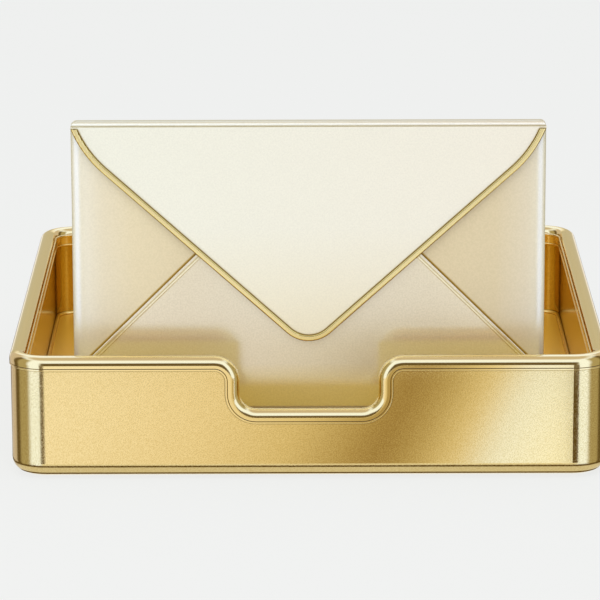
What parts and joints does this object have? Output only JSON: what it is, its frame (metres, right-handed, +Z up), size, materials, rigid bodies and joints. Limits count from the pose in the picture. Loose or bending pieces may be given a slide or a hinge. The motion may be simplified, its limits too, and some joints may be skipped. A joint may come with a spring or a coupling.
{
  "type": "letter tray with an envelope",
  "caption": "Open square desk tray with a rolled rim and a finger notch in its front wall, holding a sealed envelope upright in a slot; the envelope lifts out and its flap opens.",
  "frame": {"origin": "on the table, under the middle of the tray, level with the undersides of the feet", "axes": "+X to the right along the front wall, +Y from the notched front wall to the back, +Z up"},
  "size_m": [0.289, 0.284, 0.1699],
  "materials": {
    "brass_satin": "satin, with a fine sandy grain",
    "brass_polished": "polished",
    "fibreboard": "raw fibreboard",
    "foot_felt": "pressed felt",
    "envelope_paper": "champagne pearl card with a fine grain",
    "flap_paper": "ivory pearl card",
    "letter_paper": "plain white paper"
  },
  "bodies": {
    "tray": {"outer_shell": "brass_satin", "inner_liner": "brass_satin", "rim_trim": "brass_polished", "front_core": "fibreboard", "back_core": "fibreboard", "left_core": "fibreboard", "right_core": "fibreboard", "base_board": "fibreboard", "floor_panel": "brass_satin", "letter_channel": "brass_satin", "base_screws": "brass_polished", "channel_screws": "brass_polished", "foot_front_left": "foot_felt", "foot_front_right": "foot_felt", "foot_back_left": "foot_felt", "foot_back_right": "foot_felt"},
    "envelope": {"address_panel": "envelope_paper", "left_side_flap": "envelope_paper", "right_side_flap": "envelope_paper", "bottom_flap": "envelope_paper", "folded_letter": "letter_paper"},
    "flap": {"top_flap": "flap_paper", "flap_trim": "brass_polished"}
  },
  "joints": [
    {"name": "envelope_lift", "type": "slide", "parent": "tray", "child": "envelope", "axis": [0, 0, 1], "range_m": [0, 0.08]},
    {"name": "flap_hinge", "type": "hinge", "parent": "envelope", "child": "flap", "pos_m": [0, -0.1049, 0.1664], "axis": [-1, 0, 0], "range_deg": [0, 180]}
  ]
}
